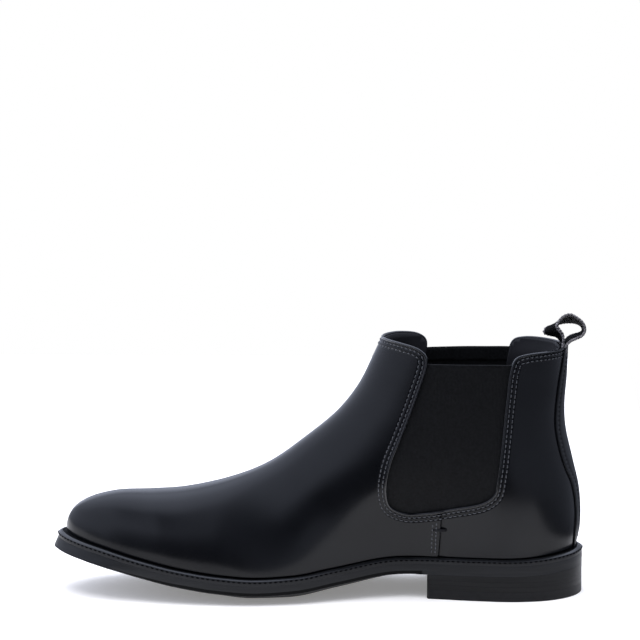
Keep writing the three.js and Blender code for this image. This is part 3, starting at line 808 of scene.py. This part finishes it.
# ---- elastic gussets, with a turned hem behind the top of each and a rounded fold along it ----
ALLOWANCE = 5.0  # how far the elastic goes in under the leather
HEM_LIFT = -ELASTIC_DEPTH - 0.5
BOW = 0.7  # how far the elastic lies deeper in its middle
bow = BOW * ease(-INTO_LEATHER / 14)
gusset = np.minimum(ALLOWANCE - INTO_LEATHER, GUSSET_TOP - Z)
gusset = np.minimum(gusset, 200 - np.abs(X - 75) * 4)  # none of it at the shin or at the back
hem = np.minimum(gusset, Z - (GUSSET_TOP - HEM))
for side, sign, columns in SIDES:
    lift = -ELASTIC_DEPTH - bow
    body = skin_piece(f"gusset_{side}_elastic", gusset, ELASTIC_THICK, ELASTIC, lift, columns)
    fixed(body, f"gusset_{side}")
    fold = skin_piece(f"gusset_{side}_hem", hem, HEM_THICK, ELASTIC, HEM_LIFT - bow, columns)
    fixed(fold, None)
    line = evenly(np.array([(60.5, GUSSET_TOP), (112.5, GUSSET_TOP)]), 50)
    path, normals = skin_path(line, sign)
    sag = BOW * ease(np.minimum(line[:, 0] - 62, 110 - line[:, 0]) / 14)
    path = path - normals * (ELASTIC_DEPTH + 0.75 + sag)[:, None]
    top = make_object(f"gusset_{side}_fold", *sweep(path, normals, ellipse(0.5, 0.85)), ELASTIC)
    fixed(top, None)


# ---- folded edges and stitch rows round the opening ----
def side_line(inset, side, depth=0.0):
    """The opening's line moved into the leather, on one side, from the front ridge to the back seam."""
    line = moved_left(OPEN, -inset)
    half, _ = last_at(line[:, 0], line[:, 1])
    line = line[half > 3]
    front_z, back_z = line[0, 1], line[-1, 1]
    ridge = (np.interp(front_z, FRONT[:, 1], FRONT[:, 0]), front_z)
    spine = (np.interp(back_z, BACK[:, 1], BACK[:, 0]), back_z)
    near = [mix(np.array(ridge), line[0], k * k) for k in (0.3, 0.5, 0.75)]
    far = [mix(np.array(spine), line[-1], k * k) for k in (0.75, 0.5, 0.3)]
    path, normals = [], []
    for x, z in [*near, *line, *far]:
        lift = vamp_lift_at(x, z)
        spot, normal = on_skin(x, z, side, depth - lift)
        path.append(spot)
        normals.append(normal)
    ends = [np.array([ridge[0], SHAFT_Y, ridge[1]]), np.array([spine[0], SHAFT_Y, spine[1]])]
    ways = [np.array([-0.92, 0, 0.38]), np.array([1.0, 0, 0.02])]
    path = [ends[0] - ways[0] * depth, *path, ends[1] - ways[1] * depth]
    normals = [ways[0], *normals, ways[1]]
    return np.array(path), np.array(normals)


def thread_piece(name, rows, finish, node=None):
    """One piece from several rows of stitches."""
    fixed(make_object(name, *joined(rows), finish), node)


SEAM_ROWS = (2.0, 4.2)  # how far the side seam's stitch rows lie from the vamp's edge
TACK_ROWS = (40.2, 40.7, 41.2)
for side, sign, _ in SIDES:
    tube = sweep(*side_line(0.35, sign, 0.62), ellipse(0.75, 0.95, 12))
    fixed(make_object(f"folded_edge_{side}", *tube, FOLDED), None)
    rows = [stitches(*side_line(inset, sign, -0.02)) for inset in ROWS]
    thread_piece(f"opening_stitches_{side}", rows, THREAD)
    seam = []
    for back in SEAM_ROWS:
        foot = (SEAM_X - back - 0.6, feather(SEAM_X) + 1.5)
        head = (SEAM_X - back + 0.1, 46.5 - back / 2)
        line = evenly(np.array([foot, head]), 12)
        seam.append(stitches(*skin_path(line, sign, -0.7), 2.6, 2.0))
    thread_piece(f"seam_stitches_{side}", seam, THREAD)
    tack = []
    for height in TACK_ROWS:
        line = evenly(np.array([(SEAM_X - 5, height), (SEAM_X + 4, height)]), 8)
        tack.append(stitches(*skin_path(line, sign, -0.75), 9.0, 8.4, 0.42))
    thread_piece(f"bar_tack_{side}_thread", tack, DARK_THREAD, f"bar_tack_{side}")
    line = STRIP_LINE[(STRIP_LINE[:, 1] > 31) & (STRIP_LINE[:, 1] < 142)] + (1.7, 0)
    row = stitches(*skin_path(line, sign, -0.83), 2.6, 2.0, 0.25)
    thread_piece(f"strip_stitches_{side}", [row], DARK_THREAD)


# ---- lining ----
front_top = OPEN[(OPEN[:, 0] < 61.6) & (OPEN[:, 1] > 141)]
rear_top = OPEN[OPEN[:, 0] > 113]
to_topline = np.minimum(distance_to(front_top, X, Z), distance_to(rear_top, X, Z))
tab_room = ease((15 - np.abs(GRID[..., 1] - SHAFT_Y)) / 6) * (X > 120) * ease((Z - 118) / 16)
lining_lift = -(1.5 + (LINING_DEPTH - 1.5) * ease(to_topline / 11)) - 1.9 * tab_room
lining_field = INTO_LEATHER - 0.5
vamp_half = np.minimum(lining_field, TO_SEAM)
vamp_lining = skin_piece("vamp_lining_skin", vamp_half, LINING_THICK, LINED, lining_lift, step=2)
flexing(vamp_lining, "vamp_lining")
rear_half = np.minimum(np.minimum(lining_field, UNDER_GUSSET), -TO_SEAM - 0.2)
quarter_lining = skin_piece("quarter_lining_skin", rear_half, LINING_THICK, LINED, lining_lift, step=2)
fixed(quarter_lining, "quarter_lining")
grip_edge = X - np.interp(Z, [34, 60, 92], [118, 124, 131])
grip_field = soft_min(soft_min(grip_edge, 93 - Z, 8), Z - 34.5, 4)
grip = skin_piece("heel_grip_suede", grip_field, GRIP_THICK, SUEDE, -(LINING_DEPTH + 1.25), step=2)
fixed(grip, "heel_grip")


# ---- the sole ----
STATIONS = 170


def even_loop(loop):
    """A plan outline with the same stations along both sides: toe, lateral side, heel, medial side."""
    medial, lateral, toe = edges_of(loop)
    x = mix(toe, loop[:, 0].max(), (1 - np.cos(np.pi * np.arange(STATIONS + 1) / STATIONS)) / 2)
    out = np.stack([x, lateral(x)], axis=1)
    back = np.stack([x, medial(x)], axis=1)[-2:0:-1]
    return np.vstack([out, back])


def slab(name, rings, top, bottom, finish):
    """A solid plate: side rings of (plan outline, height function) from the top down, and domed faces."""
    shares = (0.9, 0.75, 0.55, 0.3, 0)

    def face_rings(loop, height):
        medial, lateral, _ = edges_of(loop)
        centre = (medial(loop[:, 0]) + lateral(loop[:, 0])) / 2
        for share in shares:
            y = centre + (loop[:, 1] - centre) * share
            yield np.column_stack([loop[:, 0], y, height(loop[:, 0], share)])

    side = [np.column_stack([loop, height(loop[:, 0])]) for loop, height in rings]
    stack = [*list(face_rings(rings[0][0], top))[::-1], *side, *face_rings(rings[-1][0], bottom)]
    verts = np.vstack(stack)
    faces = [face[::-1] for face in ring_faces(len(stack), len(rings[0][0]))[:-2]]
    return welded(make_object(name, verts, faces, finish))


def welded(obj, distance=6e-6):
    """The mesh with points nearer than distance (metres) merged, outward faces and sharp corners marked."""
    work = bmesh.new()
    work.from_mesh(obj.data)
    bmesh.ops.remove_doubles(work, verts=work.verts, dist=distance)
    bmesh.ops.dissolve_degenerate(work, edges=work.edges, dist=1e-7)
    bmesh.ops.recalc_face_normals(work, faces=work.faces)
    work.to_mesh(obj.data)
    work.free()
    obj.data.set_sharp_from_angle(angle=math.radians(32))
    obj.data.update()
    return obj


def flared(share, inset):
    """The outline moved in, and widened at the toe by a share of its flare."""
    return even_loop(plan(lambda x: inset - share * TOE_FLARE * ease((-95 - x) / 50)))


def rounded_under(share, inset):
    """The outline at the outsole's lower edge, drawn in except over the heel block."""
    return even_loop(plan(lambda x: inset * ease((60 - x) / 6) - share * TOE_FLARE * ease((-95 - x) / 50)))


def painted_shade_band(x):
    """Height of the band of painted shade at the foot of the edge, standing in for the floor's contact
    shadow mirrored there; it thins out towards the toe.
    """
    return 0.7 + 1.6 * ease((x + 138) / 70)


def edge_bottom(x):
    return welt_top(x) - EDGE_THICK


def outsole_top(x, share=1.0):
    return welt_top(x) - WELT_THICK - 0.02


def outsole_bottom(x, share=1.0):
    crown = 1 - np.maximum(0, (np.abs(share) - 0.5) / 0.5) ** 2
    low = np.minimum(tread(x), edge_bottom(x))
    return np.where(x >= HEEL_BREAST - SEAT_MARGIN, edge_bottom(x), mix(edge_bottom(x), low, crown))


outsole = slab(
    "outsole_edge_trimmed",
    [
        (flared(0, 0.03), outsole_top),
        (flared(0.02, 0.0), lambda x: outsole_top(x) - 0.04),
        (flared(0.5, -0.1), lambda x: (outsole_top(x) + edge_bottom(x)) / 2),
        (rounded_under(0.92, 0.0), lambda x: edge_bottom(x) + painted_shade_band(x)),
        (rounded_under(0.95, 0.25), lambda x: edge_bottom(x) + 0.5 * painted_shade_band(x)),
        (rounded_under(1, 0.75), lambda x: edge_bottom(x) + 0.3),
        (rounded_under(1, 1.4), edge_bottom),
        (rounded_under(1, 2.4), lambda x: mix(edge_bottom(x), outsole_bottom(x, 0.9), 0.35)),
    ],
    outsole_top, outsole_bottom, EDGE,
)
outsole.data.materials.append(TREAD)
outsole.data.materials.append(EDGE_FOOT_PAINTED_SHADE)
for polygon in outsole.data.polygons:
    middle = polygon.center / MM
    if polygon.normal.z < -0.75:
        polygon.material_index = 1
    # the band at the foot of the edge, in front of the heel, gets the painted shade
    elif middle.x < HEEL_BREAST - 3 and middle.z < edge_bottom(middle.x) + 0.95 * painted_shade_band(middle.x):
        polygon.material_index = 2
flexing(outsole, "outsole")


def ring_at(inset):
    return moved_left(SOLE, -inset, closed=True)


# (inset, height over the welt's top) round the welt, from its foot outside, over the rim and the groove
WELT_SECTION = [
    (0.02, -3.5), (0.0, -3.46), (0.0, -1.9), (0.0, -1.1), (0.1, -0.92), (0.5, -0.66), (1.2, -0.26),
    (1.6, -0.06), (2.0, 0.0), (2.4, -0.06), (2.8, -0.3), (3.3, -0.42), (4.6, -0.4), (5.4, -0.45),
    (9.4, -0.5), (9.4, -3.5),
]
RIM_SPANS = range(4, 9)
joint = int(np.argmin(np.hypot(SOLE[:, 0] - WELT_JOINT, SOLE[:, 1] + 30)))
order = np.roll(np.arange(len(SOLE)), -joint)
seat = welt_top(SOLE[order, 0])
welt_rings = [np.column_stack([ring_at(inset)[order], seat + rise]) for inset, rise in WELT_SECTION]
welt_verts = np.stack(welt_rings, axis=1)
welt_verts = np.vstack([welt_verts, mix(welt_verts[-1:], welt_verts[:1], 0.88)])
welt_faces = ring_faces(len(welt_verts), len(WELT_SECTION))
welt = make_object("welt_strip", welt_verts.reshape(-1, 3), welt_faces, WELT_PAINTED_SHADE)
welt.data.materials.append(EDGE)
welt.data.materials.append(RIM)
# the outer side takes the edge ink, the rim the burnished finish, and the groove and the rest the welt
# leather darkened with painted shade
for i, polygon in enumerate(welt.data.polygons[:-2]):
    span = i % len(WELT_SECTION)
    polygon.material_index = 2 if span in RIM_SPANS else int(span < RIM_SPANS.start)
flexing(welded(welt, 1e-7), "welt")

seam_ring = ring_at(0.0)
seam_path = np.column_stack([seam_ring, welt_top(SOLE[:, 0]) - 1.5])
outward = np.column_stack([ring_at(-1.0) - seam_ring, np.zeros(len(seam_ring))])
seam_path, outward = (np.vstack([ring, ring[:1]]) for ring in (seam_path, outward))
welt_seam = make_object("welt_stitches", *stitches(seam_path, outward, 3.0, 2.1, 0.42), PRICKED)
flexing(welt_seam, None)


def sock_bottom(x):
    """The footbed's underside, which rises over the pad at the heel."""
    return welt_top(x) + 1.3 + 3.3 * ease((x - 54) / 20)


def sock_top(x):
    return sock_bottom(x) + 1.5


SOCK_INSET = 10.1
sock_outline, sock_drawn_in = even_loop(plan(SOCK_INSET)), even_loop(plan(SOCK_INSET + 0.45))
sock_rings = [
    (sock_drawn_in, sock_top),
    (sock_outline, lambda x: sock_top(x) - 0.4),
    (sock_outline, lambda x: sock_bottom(x) + 0.4),
    (sock_drawn_in, sock_bottom),
]
sock_faces = (lambda x, share: sock_top(x)), (lambda x, share: sock_bottom(x))
flexing(slab("sock_lining_footbed", sock_rings, *sock_faces, LINED), "sock_lining")


def copied(node, name, finish):
    """A piece with the same mesh as a CAD node, where the CAD shape is right, in a finish of its own."""
    source = frame["nodes"][node]
    obj = placed(name, source.data.copy())
    obj.data.materials.clear()
    obj.data.materials.append(finish)
    obj.matrix_world = source.matrix_world.copy()
    return obj


flexing(copied("insole_board", "insole_board_fibre", BOARD), "insole_board")
flexing(copied("bottom_filler", "bottom_filler_cork", CORK), "bottom_filler")


# ---- the heel ----
def heel_loop(inset):
    """The heel block's outline from above: the sole's, closed by a slightly hollow breast."""
    loop = plan(0)
    loop = loop[loop[:, 0] >= HEEL_BREAST + 0.3]
    loop = loop[np.argsort(np.arctan2(loop[:, 1], loop[:, 0] - HEEL_BREAST - 30))]
    y = np.linspace(loop[0, 1], loop[-1, 1], 40)
    across = np.linspace(-1, 1, 40)
    breast = np.column_stack([HEEL_BREAST + 1.6 * (1 - across**2), y])[::-1]
    corner = np.clip((1 - np.abs(across)) / 0.04, 0, 1)
    breast[:, 0] += 0.5 * (1 - corner)
    closed = evenly(np.vstack([loop, breast[1:-1], loop[:1]]), 260)[:-1]
    area = np.sum(closed[:, 0] * np.roll(closed[:, 1], -1) - np.roll(closed[:, 0], -1) * closed[:, 1])
    return moved_left(closed, np.sign(area) * inset, closed=True)


LIFT_BEVEL = 0.05


def lift_piece(name, low, high, finish):
    """One layer of the heel between two height functions, its edges broken by a fine bevel."""
    fall = LIFT_BEVEL * 0.8
    rings = [(LIFT_BEVEL, low, 0.0), (0.02, low, fall), (0.0, high, -fall), (LIFT_BEVEL, high, 0.0)]
    stack = []
    for inset, level, rise in rings:
        loop = heel_loop(inset)
        stack.append(np.column_stack([loop, level(loop[:, 0]) + rise]))
    obj = make_object(name, np.vstack(stack), ring_faces(len(stack), len(stack[0])), finish)
    for polygon in obj.data.polygons[-2:]:
        polygon.use_smooth = False
    return welded(obj, 1e-7)


def flat(level):
    return lambda x: np.full(np.shape(x), float(level))


def under_outsole(x):
    return edge_bottom(x) - 0.05


top_piece = lift_piece("heel_top_piece_edge", flat(0), flat(TOP_PIECE), RUBBER)
fixed(top_piece, "heel_top_piece")
LIFT_BOTTOMS = [flat(level + 0.02) for level in (TOP_PIECE, *LIFTS)]
LIFT_TOPS = [*map(flat, LIFTS), under_outsole]
for number, low, high in zip((3, 2, 1), LIFT_BOTTOMS, LIFT_TOPS):
    node = f"heel_lift_{number}"
    fixed(lift_piece(f"{node}_edge", low, high, HEEL), node)


# ---- the pull tab: one strap of webbing, folded into a loop and twisted a little ----
TAB_NEAR = [
    (139.4, 136), (139.7, 141), (140.3, 145.4), (140.9, 149), (140.5, 152.3), (138.7, 154.9), (137.3, 157.2),
    (138.2, 160.1), (141, 163), (144.7, 163.9), (148.3, 162.1), (151.2, 159.7), (152.8, 157), (153, 154),
    (151.4, 151.3), (148.3, 149.7), (144.9, 148.2), (142.4, 145.7), (141.4, 141), (141, 136),
]
TAB_FAR = [
    (139.4, 136), (139.6, 141), (139.6, 145), (137, 147.7), (133.2, 148.5), (130, 149.8), (131, 152.5),
    (136, 154), (140.5, 155.4), (145, 155.8), (148.5, 155.4), (151, 154.3), (152.3, 152.7), (152.3, 151),
    (150.6, 149.8), (147.8, 149), (144.8, 147.8), (142.4, 145.4), (141.4, 141), (141, 136),
]
TAB_WIDTH = 19.0
TAB_THICK = 1.5
TAB_STEPS = 90
TAB_FINE = 600
TAB_CURL = 1.1  # how far the strap curves across its width where it is sewn down


def matched(points):
    """The curve through points, with the same number of steps from each point to the next."""
    dense = curve(points, TAB_FINE)
    index = np.arange(TAB_FINE + 1)
    marks = []
    for i, point in enumerate(points):
        # the strap comes back close to its start, so a place far along the curve from its share loses
        away = 1e-3 * np.abs(index - TAB_FINE * i / len(points))
        marks.append(int(np.argmin(np.hypot(*(dense - point).T) + away)))
    at = np.interp(np.linspace(0, len(points) - 1, TAB_STEPS + 1), np.arange(len(points)), marks)
    return read_at(at, index, dense)


def pull_tab():
    """The strap, swept from its near edge line to its far one, and the yarn along both edges."""
    near, far = matched(TAB_NEAR), matched(TAB_FAR)
    share = np.linspace(0, 1, TAB_STEPS + 1)
    loose = ease((share - 0.08) / 0.18) * ease((0.92 - share) / 0.18)
    reach = TAB_WIDTH / 2 * mix(1.0, 0.93, loose)
    first = np.column_stack([near[:, 0], SHAFT_Y - reach, near[:, 1]])
    last = np.column_stack([far[:, 0], SHAFT_Y + reach, far[:, 1]])
    middle, half = (first + last) / 2, (last - first) / 2
    middle[:, 0] += TAB_CURL * (1 - loose)
    normal = unit(np.cross(np.gradient(middle, axis=0), half))
    angle = np.linspace(0, 2 * np.pi, 36, endpoint=False)
    a = np.sign(np.cos(angle)) * np.abs(np.cos(angle)) ** 0.35
    b = np.sign(np.sin(angle)) * np.abs(np.sin(angle)) ** 0.6
    thick = TAB_THICK / 2 * (1 + 0.22 * (np.abs(a) > 0.84) - 0.1 * (np.abs(a) < 0.3))
    curl = TAB_CURL * (1 - loose)[:, None] * a[None] ** 2
    verts = middle[:, None] + half[:, None] * a[None, :, None] + normal[:, None] * (b * thick)[None, :, None]
    verts[..., 0] -= curl
    faces = ring_faces(TAB_STEPS + 1, len(angle))
    obj = make_object("pull_tab_webbing", verts.reshape(-1, 3), faces, WEBBING)
    set_values(obj, "across", np.tile(a, TAB_STEPS + 1))
    set_values(obj, "along_mm", np.repeat(share * length_of(middle), len(angle)))
    yarn = []
    for sign in (-1, 1):
        edge = middle + half * sign * 0.985
        edge[:, 0] -= TAB_CURL * (1 - loose)
        yarn.append(stitches(edge[8:-8], normal[8:-8], 1.75, 1.7, 0.64))
    return obj, make_object("pull_tab_edge_yarn", *joined(yarn), YARN)


tab, tab_yarn = pull_tab()
swing = next(j for j in frame["joints"] if j["name"] == "pull_tab_swing")
sx, sy, sz = swing["pos_m"]
for piece in (tab, tab_yarn):
    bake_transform(piece)
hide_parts("pull_tab")


# ---- floor, light and camera ----
FLOOR_GLOW = 0.22


def stage():
    """A sheet of paper under the boot. Its front and right edges set how far the leather mirrors it."""
    mesh = bpy.data.meshes.new("floor")
    left, right, front, back = -1.2, 0.215, -0.165, 0.7
    corners = [(left, front, 0), (right, front, 0), (right, back, 0), (left, back, 0)]
    mesh.from_pydata(corners, [], [(0, 1, 2, 3)])
    made, shader, _ = material("floor_paper")
    set_inputs(
        shader, Base_Color=(0.95, 0.91, 0.86, 1), Roughness=0.8, Specular_IOR_Level=0.2,
        Emission_Color=(1, 0.99, 0.975, 1), Emission_Strength=FLOOR_GLOW,
    )
    mesh.materials.append(made)
    placed("floor", mesh)


def world():
    """A studio: bright behind and above, dark on the camera's side. The camera sees it as plain white."""
    made = bpy.data.worlds.new("studio")
    bpy.context.scene.world = made
    made.use_nodes = True
    tree = made.node_tree
    tree.nodes.clear()
    node = node_maker(tree)
    split = node("SeparateXYZ")
    link(node("TexCoord").outputs["Generated"], split.inputs[0])

    def step(value, start, end, low=0.0, high=1.0):
        return ranged(node, value, low, high, start, end, "SMOOTHSTEP")

    def times(a, b):
        return calc(node, "MULTIPLY", a, b)

    def brighter(a, b):
        return calc(node, "MAXIMUM", a, b)

    x, y, z = split.outputs
    wall = times(step(y, 0.45, 0.85, 0.0, 0.9), step(z, 0.55, 0.2))
    wall = times(wall, step(x, 0.16, -0.03))
    ceiling = times(step(y, -0.3, 0.25, 0.0, 1.65), step(z, 0.25, 0.75))
    left = times(step(x, 0.0, -0.45, 0.0, 1.3), step(y, -0.95, -0.6))
    left = times(left, step(z, -0.25, 0.35, 0.3, 1.0))
    right = times(step(x, 0.02, 0.3, 0.0, 0.5), step(z, -0.45, -0.2))
    around = times(brighter(left, brighter(wall, ceiling)), step(z, -0.3, 0.0))
    dim = node("Background", Color=(0.86, 0.93, 1.14, 1))
    link(calc(node, "ADD", brighter(around, right), 0.02), dim.inputs["Strength"])
    white = node("Background", Color=(1, 1, 1, 1))
    choose = node("MixShader")
    link(node("LightPath").outputs["Is Camera Ray"], choose.inputs[0])
    link(dim.outputs[0], choose.inputs[1])
    link(white.outputs[0], choose.inputs[2])
    link(choose.outputs[0], node("OutputWorld").inputs[0])


def overhead():
    """A soft light above the boot, which the leather doesn't mirror."""
    light = bpy.data.lights.new("overhead", "AREA")
    light.shape = "RECTANGLE"
    light.size, light.size_y = 1.8, 1.5
    light.energy = 31
    light.color = (0.95, 0.98, 1.04)
    obj = placed("overhead", light)
    obj.location = (-0.15, -0.15, 1.6)
    obj.rotation_euler = (Vector((0, 0, 0.07)) - obj.location).to_track_quat("-Z", "Y").to_euler()
    obj.visible_glossy = False


CAMERA_AZIMUTH = math.radians(1.5)
CAMERA_ELEVATION = math.radians(12.5)
CAMERA_RISE = math.radians(2.06)  # how far the camera looks above the boot's middle
CAMERA_TURN = math.radians(0.015)  # how far it looks to the right of the boot's middle
CAMERA_DISTANCE = 2.2
BOOT_MIDDLE = Vector((0.0, 0.0, 0.0774))


def camera():
    data = bpy.data.cameras.new("camera")
    data.lens = 213
    data.sensor_width = 36
    data.clip_start = 0.05
    obj = placed("camera", data)
    around = Vector((
        math.sin(CAMERA_AZIMUTH) * math.cos(CAMERA_ELEVATION),
        -math.cos(CAMERA_AZIMUTH) * math.cos(CAMERA_ELEVATION),
        math.sin(CAMERA_ELEVATION),
    ))
    obj.location = BOOT_MIDDLE + around * CAMERA_DISTANCE
    obj.rotation_euler = (math.pi / 2 - CAMERA_ELEVATION + CAMERA_RISE, 0, CAMERA_AZIMUTH - CAMERA_TURN)
    bpy.context.scene.camera = obj


stage()
world()
overhead()
camera()
bpy.context.scene.view_settings.view_transform = "Standard"
